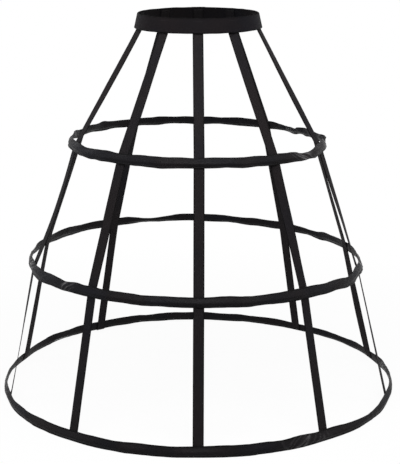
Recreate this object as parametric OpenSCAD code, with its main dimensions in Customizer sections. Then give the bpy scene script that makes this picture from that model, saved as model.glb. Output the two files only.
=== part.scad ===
// Three-hoop crinoline cage in its worn shape: an elastic waistband, ten flat tapes that hang
// inside it, and three sprung hoops in ribbon casings that are sewn round the tapes.
// It stands on its hem, front towards -Y. Left and right are as seen from the front.

/* [Hoops] */
// Diameter of the hem hoop, across the middle of its casing
hem_d = 792; // [640:2:960]
// Diameter of the middle hoop, across the middle of its casing
middle_d = 663; // [540:1:780]
// Diameter of the upper hoop, across the middle of its casing
upper_d = 502; // [380:2:620]
// Height of the middle hoop above the hem hoop
middle_rise = 258; // [180:1:340]
// Height of the upper hoop above the middle hoop
upper_rise = 237.5; // [160:0.5:320]
// How far the middle hoop hangs to the right of the axis, or to the left if negative
middle_sway = -6; // [-12:0.5:12]
// How far the upper hoop hangs to the right of the axis, or to the left if negative
upper_sway = -2.5; // [-12:0.5:12]
// How far the middle hoop hangs from level, lower on its right side, in degrees
middle_tilt = 0.8; // [-2:0.1:2]
// How far the upper hoop hangs from level, lower on its right side, in degrees
upper_tilt = 0.6; // [-2:0.1:2]
// Diameter of the hoop wire
wire_d = 2.6; // [1.6:0.1:3.6]
// Gap between the two ends of a hoop wire
wire_gap = 1; // [0.4:0.1:4]

/* [Wire sleeves] */
// Length of the crimped sleeve that joins the ends of a hoop wire
sleeve_l = 40; // [20:1:70]
// Wall of the sleeve
sleeve_wall = 0.4; // [0.2:0.05:0.8]
// Clearance between the wire and the bore of the sleeve
sleeve_fit = 0.1; // [0.05:0.05:0.3]

/* [Casings] */
// Width of a casing laid flat
casing_w = 19.5; // [17:0.5:28]
// Thickness of the fabric of a casing
casing_wall = 0.5; // [0.3:0.05:0.9]
// Thickness of the two stitched edges of a casing
casing_edge_t = 1.2; // [0.8:0.1:1.8]
// Width of the stitched edges of a casing
casing_seam = 2.5; // [1.5:0.1:3.5]
// How far the wire rides below the middle of its casing
wire_drop = 2; // [0:0.1:3]
// Clearance between the sleeve and the channel of a casing
channel_fit = 0.2; // [0.1:0.05:0.6]
// Gap between the two ends of a casing, at the rear tape
casing_gap = 1; // [0.4:0.1:3]

/* [Gathers] */
// Gathers in a casing between one tape and the next
gathers = 2; // [1:1:3]
// How closely the flat sewn stretch of a casing keeps to its tape
sewn_tightness = 8; // [4:2:12]
// How far a gather tips a casing about its wire, in degrees
gather_tip = 7; // [0:0.5:12]
// How far a gather raises or lowers the edges of a casing
gather_rise = 0.7; // [0:0.1:1.5]
// How far the middle casing tips inwards at the top between two tapes, in degrees
middle_droop = 10; // [0:1:16]
// How far the upper casing tips inwards at the top between two tapes, in degrees
upper_droop = 8; // [0:1:16]
// How far a casing turns about its wire where it has rolled over, in degrees
roll_turn = 34; // [0:1:45]
// Share of its width that a casing loses where it has rolled over
roll_crush = 0.45; // [0:0.05:0.5]
// Half of the arc over which a casing rolls over and returns, in degrees
roll_arc = 12; // [8:0.5:14]
// Place of the roll in the upper casing, in degrees back from the right side
upper_roll_at = 38; // [34:0.5:39]
// Place of the roll in the middle casing, in degrees back from the right side
middle_roll_at = 107; // [105:0.5:111]

/* [Tapes] */
// Width of a tape
tape_w = 20; // [12:0.5:26]
// Thickness of a tape
tape_t = 0.8; // [0.5:0.1:1.4]
// Degrees of the front slant tapes forward of the sides, at the hem, middle, upper hoop and waist
front_slant_at = [54, 54, 56, 57]; // [48:0.5:60]
// Degrees of the front side tapes forward of the sides, at the hem, middle, upper hoop and waist
front_side_at = [17.5, 16, 19.5, 19]; // [12:0.5:24]
// Degrees of the rear side tapes back of the sides, at the hem, middle, upper hoop and waist
rear_side_at = [18.5, 17.5, 18, 18]; // [12:0.5:24]
// Degrees of the rear slant tapes back of the sides, at the hem, middle, upper hoop and waist
rear_slant_at = [55, 55, 56, 57]; // [48:0.5:60]
// How far a tape stops short of the lower edge of the hem casing
tape_end_short = 3; // [2.5:0.5:6]
// How far a tape stops short of the upper edge of the waistband
tape_top_short = 3; // [1:0.5:10]
// Gap between a tape and the piece that it is sewn to
sew_gap = 0.3; // [0.15:0.05:0.6]

/* [Waistband] */
// Outer diameter of the waistband at its upper edge
waist_d = 236.5; // [180:0.5:320]
// Width of the elastic of the waistband
waistband_w = 29; // [22:1:45]
// Thickness of the elastic of the waistband
waistband_t = 1.6; // [1:0.1:2.5]
// How far the waistband flares from upright, in degrees
waistband_flare = 13; // [0:1:20]
// Height of the lower edge of the waistband above the upper hoop
waist_rise = 222; // [140:0.5:300]
// How far the waistband hangs from level, higher at the back, in degrees
waist_tilt = 1; // [-4:0.1:4]
// Length over which the ends of the elastic overlap at the back
waistband_lap = 28; // [12:1:50]

/* [Hidden] */
$fn = 96;

CLOTH = [0.14, 0.14, 0.15];
TAPE = [0.17, 0.17, 0.18];
ELASTIC = [0.11, 0.11, 0.12];
SPRING_STEEL = [0.72, 0.74, 0.76];
CRIMPED_STEEL = [0.48, 0.48, 0.5];

// Angles about the axis of the right side, the back, the left side and the front.
right = 0;
rear = 90;
left = 180;
front = 270;

// Each tape is [angle at the hem, at the middle hoop, at the upper hoop, at the waist].
function ahead(of, degrees) = [for (d = degrees) of + d];
TAPE_FRONT = ahead(front, [0, 0, 0, 0]);
TAPE_FRONT_LEFT = ahead(left, front_slant_at);
TAPE_LEFT_FRONT = ahead(left, front_side_at);
TAPE_LEFT_REAR = ahead(left, -rear_side_at);
TAPE_REAR_LEFT = ahead(left, -rear_slant_at);
TAPE_REAR = ahead(rear, [0, 0, 0, 0]);
TAPE_REAR_RIGHT = ahead(right, rear_slant_at);
TAPE_RIGHT_REAR = ahead(right, rear_side_at);
TAPE_RIGHT_FRONT = ahead(right, -front_side_at);
TAPE_FRONT_RIGHT = ahead(right, -front_slant_at);

// Rings of points in a casing, in ten bays from tape to tape.
bays = 10;
rings_per_bay = 10;
bay_step = 360 / bays;
ring_count = rings_per_bay * bays;
ring_step = 360 / ring_count;

// Slope of a tape from upright as it goes down from one [radius, height] to the next.
function slope(from, to) = atan2(to[0] - from[0], from[1] - to[1]);

// Heights below are above the hem hoop, until the whole cage is lifted onto its hem.
waist_low_r = waist_d / 2 + waistband_w * sin(waistband_flare);
upper_at = [upper_d / 2, middle_rise + upper_rise];
middle_at = [middle_d / 2, middle_rise];
hem_at = [hem_d / 2, 0];
waist_low_at = [waist_low_r, middle_rise + upper_rise + waist_rise];

yoke_slope = slope(waist_low_at, upper_at);
skirt_slope = slope(upper_at, middle_at);
hem_slope = slope(middle_at, hem_at);

// Each hoop is [radius, height, lean from upright, sway, tilt, droop], at the middle of its casing.
lift = casing_w / 2 * cos(hem_slope) - casing_edge_t / 2 * sin(hem_slope);
upper_lean = (yoke_slope + skirt_slope) / 2;
middle_lean = (skirt_slope + hem_slope) / 2;
UPPER = [upper_at[0], upper_at[1] + lift, upper_lean, upper_sway, upper_tilt, upper_droop];
MIDDLE = [middle_at[0], middle_at[1] + lift, middle_lean, middle_sway, middle_tilt, middle_droop];
HEM = [hem_at[0], lift, hem_slope, 0, 0, 0];

// A point in space once its hoop hangs from level, turned about the middle of the hoop.
function hung(hoop, p) =
    let (
        x = p[0] - hoop[3],
        z = p[2] - hoop[1],
        tilt = hoop[4]
    )
    [hoop[3] + x * cos(tilt) + z * sin(tilt), p[1], hoop[1] - x * sin(tilt) + z * cos(tilt)];

// Half thicknesses, from the wire outwards to the sleeve, the channel and the casing.
// The channel runs straight from ring to ring, so it is wider by the bow of the round wire.
wire_r = wire_d / 2;
sleeve_bore_r = wire_r + sleeve_fit;
sleeve_r = sleeve_bore_r + sleeve_wall;
ring_bow = hem_d / 2 * (1 - cos(ring_step / 2));
channel_half = sleeve_r + channel_fit + ring_bow;
belly_half = channel_half + casing_wall;
edge_half = casing_edge_t / 2;

// Places across a casing, from its middle towards its lower edge.
flat_half = casing_w / 2;
seam_at = flat_half - casing_seam;
belly_up = wire_drop - sleeve_r;
belly_down = wire_drop + sleeve_r;

// Point [radius, height] across a casing: across is down its face, out is off its face.
function on_casing(hoop, across, out) = [
    hoop[0] + across * sin(hoop[2]) + out * cos(hoop[2]),
    hoop[1] - across * cos(hoop[2]) + out * sin(hoop[2]),
];
function wire_at(hoop) = on_casing(hoop, wire_drop, 0);

// The outline of a casing, from its upper edge down the outer face and back up the inner one.
outer_half_outline = [
    [-flat_half, edge_half],
    [-seam_at, edge_half],
    [belly_up, belly_half],
    [belly_down, belly_half],
    [seam_at, edge_half],
    [flat_half, edge_half],
];
function mirrored(points) = [for (k = [len(points) - 1:-1:0]) [points[k][0], -points[k][1]]];
outline = concat(outer_half_outline, mirrored(outer_half_outline));
channel_side = [[belly_up, channel_half], [belly_down, channel_half]];
channel = concat([[-seam_at, 0]], channel_side, [[seam_at, 0]], mirrored(channel_side));

// Share of a gather at an angle: none at a tape, where the casing is sewn flat against it.
function bay_share(angle) = let (turns = (angle - rear) / bay_step) turns - floor(turns);
function gather_share(angle) = pow(sin(180 * bay_share(angle)), 2);
function sewn_share(angle) = pow(cos(180 * bay_share(angle)), sewn_tightness);
function gather_wave(angle, late) =
    gather_share(angle) * sin(360 * gathers * bay_share(angle) + 2.3 * angle + late);

// Share of a roll at an angle: a smooth hump that is gone at the ends of its arc.
// A casing with no roll gives undef as its place.
function roll_share(angle, at) =
    is_undef(at) ? 0 :
    let (off = (angle - at + 540) % 360 - 180)
    abs(off) >= roll_arc ? 0 : pow(cos(90 * off / roll_arc), 2);

// One point of a casing in space, turned about the wire by the gathers and the roll.
// Its edges, but not its belly, are drawn in against the tapes.
function casing_point(hoop, place, angle, late, roll_at) =
    let (
        roll = roll_share(angle, roll_at),
        spread = 1 - roll_crush * roll,
        across = (place[0] - wire_drop) * spread + gather_rise * gather_wave(angle, late + 120),
        is_belly = place[0] == belly_up || place[0] == belly_down,
        drawn_in = is_belly ? 0 : (belly_half - edge_half) * sewn_share(angle),
        droop = hoop[5] * gather_share(angle),
        tip = droop + gather_tip * gather_wave(angle, late) + roll_turn * roll,
        turned = [wire_at(hoop)[0], wire_at(hoop)[1], hoop[2] + tip],
        place_rz = on_casing(turned, across, place[1] - drawn_in),
        level = [place_rz[0] * cos(angle) + hoop[3], place_rz[0] * sin(angle), max(0, place_rz[1])]
    )
    hung(hoop, level);

// Angle of a ring of points: the two end rings leave the gap at the rear tape.
function ring_angle(hoop, k) =
    let (half_gap = casing_gap / 2 / hoop[0] * 180 / PI)
    rear + (k == 0 ? half_gap : k == ring_count ? 360 - half_gap : k * ring_step);

// Two triangles for each cell between one loop of points and the next, along a number of cells.
// They part along a line that goes down and forward, or on a side that is named, down and back.
function wall_faces(first, around, cells, facing_out, back_side = undef) = [
    for (k = [0:cells - 1], j = [0:around - 1])
        let (
            a = first + k * around + j,
            b = first + k * around + (j + 1) % around,
            c = b + around,
            d = a + around,
            halves = j == back_side ? [[a, d, b], [b, d, c]] : [[a, c, b], [a, d, c]]
        )
        each (facing_out ? halves : [for (h = halves) [h[0], h[2], h[1]]])
];

// The cut end of a casing: its fabric between the outline and the channel.
function end_faces(outline_first, channel_first, turn_over) =
    let (
        o = [for (j = [0:len(outline) - 1]) outline_first + j],
        c = [for (j = [0:len(channel) - 1]) channel_first + j],
        faces = [
            [o[10], o[11], o[0], o[1], c[0]],
            [o[1], o[2], c[1], c[0]],
            [o[2], o[3], c[2], c[1]],
            [o[3], o[4], c[3], c[2]],
            [o[4], o[5], o[6], o[7], c[3]],
            [o[7], o[8], c[4], c[3]],
            [o[8], o[9], c[5], c[4]],
            [o[9], o[10], c[0], c[5]],
        ]
    )
    [for (f = faces) turn_over ? [for (j = [len(f) - 1:-1:0]) f[j]] : f];

module casing(hoop, late, roll_at) {
    angles = [for (k = [0:ring_count]) ring_angle(hoop, k)];
    outer = [for (angle = angles, p = outline) casing_point(hoop, p, angle, late, roll_at)];
    inner = [for (angle = angles, p = channel) casing_point(hoop, p, angle, late, roll_at)];
    last_outer = ring_count * len(outline);
    last_inner = len(outer) + ring_count * len(channel);
    color(CLOTH)
        polyhedron(
            points = concat(outer, inner),
            faces = concat(
                wall_faces(0, len(outline), ring_count, true),
                wall_faces(len(outer), len(channel), ring_count, false),
                end_faces(0, len(outer), false),
                end_faces(last_outer, last_inner, true)
            ),
            convexity = 10
        );
}

// Turns what is drawn as [radius, height] about a hoop's own centre, over an arc at the back.
module sweep_at_rear(hoop, start, arc) {
    translate([hoop[3], 0, hoop[1]])
        rotate([0, hoop[4], 0])
            translate([0, 0, -hoop[1]])
                rotate([0, 0, rear + start])
                    rotate_extrude(angle = arc)
                        translate(wire_at(hoop))
                            children();
}

module hoop_wire(hoop) {
    half_gap = wire_gap / 2 / wire_at(hoop)[0] * 180 / PI;
    color(SPRING_STEEL)
        sweep_at_rear(hoop, half_gap, 360 - 2 * half_gap)
            circle(r = wire_r);
}

module wire_sleeve(hoop) {
    arc = sleeve_l / wire_at(hoop)[0] * 180 / PI;
    color(CRIMPED_STEEL)
        sweep_at_rear(hoop, -arc / 2, arc)
            difference() {
                circle(r = sleeve_r);
                circle(r = sleeve_bore_r);
            }
}

// Point [radius, height] on the waistband: down from its upper edge, and in from its outer face.
waist_top_z = lift + waist_low_at[1] + waistband_w * cos(waistband_flare);
function on_waistband(down, inward) = [
    waist_d / 2 + down * sin(waistband_flare) - inward * cos(waistband_flare),
    waist_top_z - down * cos(waistband_flare) - inward * sin(waistband_flare),
];

// A point in space once the waistband hangs from level, turned about the middle of its axis.
waist_middle_z = waist_top_z - waistband_w / 2 * cos(waistband_flare);
function worn(p) =
    let (z = p[2] - waist_middle_z)
    [
        p[0],
        p[1] * cos(waist_tilt) - z * sin(waist_tilt),
        waist_middle_z + p[1] * sin(waist_tilt) + z * cos(waist_tilt),
    ];

// Section of the elastic, with round edges, from one depth behind the outer face.
module elastic_section(inward) {
    middle = inward + waistband_t / 2;
    edge = waistband_t / 2;
    polygon([
        on_waistband(edge, inward),
        on_waistband(waistband_w - edge, inward),
        on_waistband(waistband_w - edge, inward + waistband_t),
        on_waistband(edge, inward + waistband_t),
    ]);
    for (down = [edge, waistband_w - edge])
        translate(on_waistband(down, middle))
            circle(r = edge);
}

module waistband() {
    lap_arc = waistband_lap / (waist_d / 2) * 180 / PI;
    lap_bite = waistband_t / 8;
    color(ELASTIC)
        translate([0, 0, waist_middle_z])
            rotate([waist_tilt, 0, 0])
                translate([0, 0, -waist_middle_z]) {
                    rotate_extrude()
                        elastic_section(0);
                    rotate([0, 0, rear - lap_arc / 2])
                        rotate_extrude(angle = lap_arc)
                            elastic_section(lap_bite - waistband_t);
                }
}

// Distance from the axis, along an angle, to a circle about a hoop's own centre.
function reach(hoop, radius, angle) =
    hoop[3] * cos(angle) + sqrt(pow(radius, 2) - pow(hoop[3] * sin(angle), 2));

// Middle line of a tape down the inside of a casing, from its upper edge as far as asked.
// The flat tape meets the facets of the casing at its two edges, so its middle stands off them.
casing_stand_off = tape_w / 2 * tan(ring_step / 2);
casing_inward = belly_half + casing_stand_off + sew_gap + tape_t / 2;
function inside_casing(hoop, angle, down_to) = [
    for (across = [-flat_half, down_to])
        let (p = on_casing(hoop, across, -casing_inward))
        [reach(hoop, p[0], angle), p[1]]
];

// Middle line of a tape down the inside of the waistband, which it also meets at its two edges.
band_inner_r = waist_d / 2 - waistband_t;
band_stand_off = band_inner_r - sqrt(pow(band_inner_r, 2) - pow(tape_w / 2, 2));
band_inward = waistband_t + band_stand_off + sew_gap + tape_t / 2;
inside_band = [
    on_waistband(tape_top_short, band_inward),
    on_waistband(waistband_w, band_inward),
];

// A strip's edge along a path of [radius, height], a given way outwards, with mitred corners.
function unit(v) = v / norm(v);
function outward(v) = [-v[1], v[0]];
function strip_edge(path, away) = [
    for (k = [0:len(path) - 1])
        let (
            before = unit(path[max(k, 1)] - path[max(k, 1) - 1]),
            after = unit(path[min(k, len(path) - 2) + 1] - path[min(k, len(path) - 2)]),
            mitre = unit(outward(before) + outward(after))
        )
        path[k] + away * mitre / (mitre * outward(before))
];

// A point at [radius, height] on a tape, beside its middle line, in space.
function beside(place, angle, aside) = [
    place[0] * cos(angle) - aside * sin(angle),
    place[0] * sin(angle) + aside * cos(angle),
    place[1],
];

// A point of a tape, at one of the eight turns of its path, hangs with the piece that carries it.
function carried(k, p) =
    k < 2 ? worn(p) :
    k < 4 ? hung(UPPER, p) :
    k < 6 ? hung(MIDDLE, p) :
    hung(HEM, p);

module tape(angles) {
    path = concat(
        inside_band,
        inside_casing(UPPER, angles[2], flat_half),
        inside_casing(MIDDLE, angles[1], flat_half),
        inside_casing(HEM, angles[0], flat_half - tape_end_short)
    );
    at = [for (level = [3, 2, 1, 0]) each [angles[level], angles[level]]];
    outer = strip_edge(path, tape_t / 2);
    inner = strip_edge(path, -tape_t / 2);
    half = tape_w / 2;
    points = [
        for (k = [0:len(path) - 1])
            each [
                carried(k, beside(outer[k], at[k], -half)),
                carried(k, beside(outer[k], at[k], half)),
                carried(k, beside(inner[k], at[k], half)),
                carried(k, beside(inner[k], at[k], -half)),
            ]
    ];
    last = len(points) - 4;
    color(TAPE)
        polyhedron(
            points = points,
            faces = concat(
                wall_faces(0, 4, len(path) - 1, true, 2),
                [[0, 1, 2, 3], [last + 3, last + 2, last + 1, last]]
            ),
            convexity = 4
        );
}

waistband();
tape(TAPE_FRONT);  // tape_front
tape(TAPE_FRONT_LEFT);  // tape_front_left
tape(TAPE_LEFT_FRONT);  // tape_left_front
tape(TAPE_LEFT_REAR);  // tape_left_rear
tape(TAPE_REAR_LEFT);  // tape_rear_left
tape(TAPE_REAR);  // tape_rear
tape(TAPE_REAR_RIGHT);  // tape_rear_right
tape(TAPE_RIGHT_REAR);  // tape_right_rear
tape(TAPE_RIGHT_FRONT);  // tape_right_front
tape(TAPE_FRONT_RIGHT);  // tape_front_right
casing(UPPER, 0, upper_roll_at);  // casing_upper
casing(MIDDLE, 80, middle_roll_at);  // casing_middle
casing(HEM, 200, undef);  // casing_hem
hoop_wire(UPPER);  // hoop_upper
hoop_wire(MIDDLE);  // hoop_middle
hoop_wire(HEM);  // hoop_hem
wire_sleeve(UPPER);  // sleeve_upper
wire_sleeve(MIDDLE);  // sleeve_middle
wire_sleeve(HEM);  // sleeve_hem
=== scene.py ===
"""Black cage crinoline as worn: elastic waistband, ribbed tapes, gathered ribbon casings and seams."""

import math
from collections import namedtuple

import bmesh
import bpy
from bpy.props import FloatProperty, FloatVectorProperty, IntProperty, PointerProperty
from mathutils import Matrix, Vector, noise


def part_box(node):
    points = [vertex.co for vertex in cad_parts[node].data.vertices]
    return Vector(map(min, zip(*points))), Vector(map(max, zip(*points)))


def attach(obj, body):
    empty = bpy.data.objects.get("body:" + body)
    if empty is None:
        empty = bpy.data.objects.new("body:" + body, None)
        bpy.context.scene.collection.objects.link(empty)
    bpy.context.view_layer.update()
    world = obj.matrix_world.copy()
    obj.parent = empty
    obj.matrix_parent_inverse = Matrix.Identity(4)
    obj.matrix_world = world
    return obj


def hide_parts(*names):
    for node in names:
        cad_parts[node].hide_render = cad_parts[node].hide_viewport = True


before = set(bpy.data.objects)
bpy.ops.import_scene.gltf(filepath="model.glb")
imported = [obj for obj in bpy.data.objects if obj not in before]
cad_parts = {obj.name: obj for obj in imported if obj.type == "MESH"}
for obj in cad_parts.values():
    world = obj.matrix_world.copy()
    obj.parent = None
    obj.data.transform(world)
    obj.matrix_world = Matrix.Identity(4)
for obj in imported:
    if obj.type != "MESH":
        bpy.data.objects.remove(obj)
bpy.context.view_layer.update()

bl_info = {
    "name": "Cage crinoline",
    "version": (1, 0, 0),
    "blender": (4, 5, 0),
    "location": "3D View > Sidebar > Crinoline",
    "description": "Sews the waistband, tapes and casings of a cage crinoline over its solids",
    "category": "Object",
}

MM = 0.001
FULL_TURN = 2 * math.pi
REAR = math.radians(90)
BAY = math.radians(36)
# Equal parts that a ring is repeated from, and the distance within which they join
PARTS = 10
JOIN = 0.01 * MM
LEVELS = ("upper", "middle", "hem")
WAIST_Z = sum(corner[2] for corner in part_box("waistband")) / 2


# Sizes, colours and stage that a user would change

class CrinolineSizes(bpy.types.PropertyGroup):
    """Sizes of the pieces, as they are sewn"""

    wire_d: FloatProperty(name="Wire", description="Diameter of the hoop wire", default=2.6 * MM,
                          unit="LENGTH")
    wire_drop: FloatProperty(name="Wire drop",
                             description="How far the wire rides below the middle of its casing",
                             default=2 * MM, unit="LENGTH")
    casing_w: FloatProperty(name="Casing width", description="Width of a casing laid flat", default=19.5 * MM,
                            unit="LENGTH")
    casing_belly: FloatProperty(name="Casing belly", description="Half thickness of a casing over its wire",
                                default=2.69 * MM, unit="LENGTH")
    casing_edge: FloatProperty(name="Casing edge",
                               description="Half thickness of the stitched edges of a casing",
                               default=0.6 * MM, unit="LENGTH")
    casing_seam: FloatProperty(name="Casing seam", description="Width of the stitched edges of a casing",
                               default=2.5 * MM, unit="LENGTH")
    casing_gap: FloatProperty(name="Casing gap",
                              description="Gap between the ends of a casing at the rear tape",
                              default=1 * MM, unit="LENGTH")
    upper_lean: FloatProperty(name="Upper lean", description="Lean of the upper casing from upright",
                              default=math.radians(24.2), subtype="ANGLE")
    middle_lean: FloatProperty(name="Middle lean", description="Lean of the middle casing from upright",
                               default=math.radians(16.4), subtype="ANGLE")
    hem_lean: FloatProperty(name="Hem lean", description="Lean of the hem casing from upright",
                            default=math.radians(14.0), subtype="ANGLE")
    upper_droop: FloatProperty(name="Upper droop", description="Tip of the upper casing between two tapes",
                               default=math.radians(8), subtype="ANGLE")
    middle_droop: FloatProperty(name="Middle droop", description="Tip of the middle casing between two tapes",
                                default=math.radians(10), subtype="ANGLE")
    gather_tip: FloatProperty(name="Gather tip", description="How far a gather tips a casing about its wire",
                              default=math.radians(7), subtype="ANGLE")
    gather_rise: FloatProperty(name="Gather rise",
                               description="How far a gather raises the edges of a casing",
                               default=0.7 * MM, unit="LENGTH")
    roll_turn: FloatProperty(name="Roll turn", description="How far a casing turns where it has rolled over",
                             default=math.radians(34), subtype="ANGLE")
    roll_crush: FloatProperty(name="Roll crush",
                              description="Share of its width that a casing loses in a roll",
                              default=0.45, subtype="FACTOR")
    pucker: FloatProperty(name="Pucker", description="Depth of the puckers along the edges of a casing",
                          default=0.8 * MM, unit="LENGTH")
    pucker_l: FloatProperty(name="Pucker length", description="Length of a pucker", default=27 * MM,
                            unit="LENGTH")
    crease: FloatProperty(name="Crease", description="Depth of the slanting creases in a casing",
                          default=0.55 * MM, unit="LENGTH")
    casing_steps: IntProperty(name="Casing steps", description="Cells round a casing", default=1100)
    tape_w: FloatProperty(name="Tape width", description="Width of a tape", default=20 * MM, unit="LENGTH")
    tape_t: FloatProperty(name="Tape thickness", description="Thickness of a tape", default=0.8 * MM,
                          unit="LENGTH")
    tape_inward: FloatProperty(name="Tape inset",
                               description="Middle of a tape behind the wire that it passes",
                               default=3.71 * MM, unit="LENGTH")
    tape_short: FloatProperty(name="Tape end",
                              description="How far a tape stops short of the hem and the waist edge",
                              default=3 * MM, unit="LENGTH")
    waist_d: FloatProperty(name="Waist", description="Outer diameter of the waistband at its upper edge",
                           default=236.5 * MM, unit="LENGTH")
    waistband_w: FloatProperty(name="Elastic width", description="Width of the elastic", default=29 * MM,
                               unit="LENGTH")
    waistband_t: FloatProperty(name="Elastic thickness", description="Thickness of the elastic",
                               default=1.6 * MM, unit="LENGTH")
    waistband_flare: FloatProperty(name="Waist flare", description="Flare of the waistband from upright",
                                   default=math.radians(13), subtype="ANGLE")
    waist_tilt: FloatProperty(name="Waist tilt", description="How far the waistband rises towards the back",
                              default=math.radians(1), subtype="ANGLE")
    waistband_lap: FloatProperty(name="Elastic lap",
                                 description="Length over which the ends of the elastic overlap",
                                 default=28 * MM, unit="LENGTH")
    stitch_l: FloatProperty(name="Stitch", description="Length of a stitch with its gap", default=4 * MM,
                            unit="LENGTH")
    thread_d: FloatProperty(name="Thread", description="Thickness of the sewing thread", default=0.45 * MM,
                            unit="LENGTH")


class CrinolineColours(bpy.types.PropertyGroup):
    """Colours of the ribbon, tape, elastic, thread and steel"""

    ribbon: FloatVectorProperty(name="Casing ribbon", description="Colour of the casings",
                                subtype="COLOR", size=4, default=(0.0084, 0.0076, 0.0087, 1), min=0,
                                max=1)
    tape: FloatVectorProperty(name="Tape ribbon", description="Colour of the tapes", subtype="COLOR", size=4,
                              default=(0.0142, 0.0122, 0.0132, 1), min=0, max=1)
    elastic: FloatVectorProperty(name="Elastic", description="Colour of the waistband", subtype="COLOR",
                                 size=4, default=(0.0085, 0.0072, 0.0086, 1), min=0, max=1)
    thread: FloatVectorProperty(name="Thread", description="Colour of the sewing thread", subtype="COLOR",
                                size=4, default=(0.012, 0.0115, 0.0125, 1), min=0, max=1)
    spring: FloatVectorProperty(name="Spring steel", description="Colour of the wires", subtype="COLOR",
                                size=4, default=(0.6, 0.62, 0.64, 1), min=0, max=1)
    crimped: FloatVectorProperty(name="Crimped steel", description="Colour of the sleeves",
                                 subtype="COLOR", size=4, default=(0.45, 0.45, 0.47, 1), min=0, max=1)
    floor: FloatVectorProperty(name="Floor", description="Colour of the floor", subtype="COLOR", size=4,
                               default=(0.92, 0.92, 0.92, 1), min=0, max=1)


class CrinolineStage(bpy.types.PropertyGroup):
    """Camera and light"""

    camera_at: FloatVectorProperty(name="Camera", description="Place of the camera", size=3,
                                   subtype="TRANSLATION", default=(0.00334, -2.505, 0.9412))
    camera_down: FloatProperty(name="Camera dip", description="How far the camera looks down",
                               subtype="ANGLE", default=math.radians(14.02))
    camera_lens: FloatProperty(name="Lens", description="Focal length of the camera", default=99.0,
                               unit="CAMERA")
    side_power: FloatProperty(name="Side light", description="Power of each side softbox", default=12,
                              unit="POWER")
    top_power: FloatProperty(name="Top light", description="Power of the softbox overhead", default=16,
                             unit="POWER")
    front_power: FloatProperty(name="Front light", description="Power of the softbox over the front",
                               default=22, unit="POWER")


# Rolls, folds and crumples of the casings

Casing = namedtuple("Casing", "late seed roll folds crumples")
Roll = namedtuple("Roll", "at arc share")
Fold = namedtuple("Fold", "at arc turn top low push drop", defaults=(0.0,) * 5)
Crumple = namedtuple("Crumple", "at arc depth")

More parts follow.
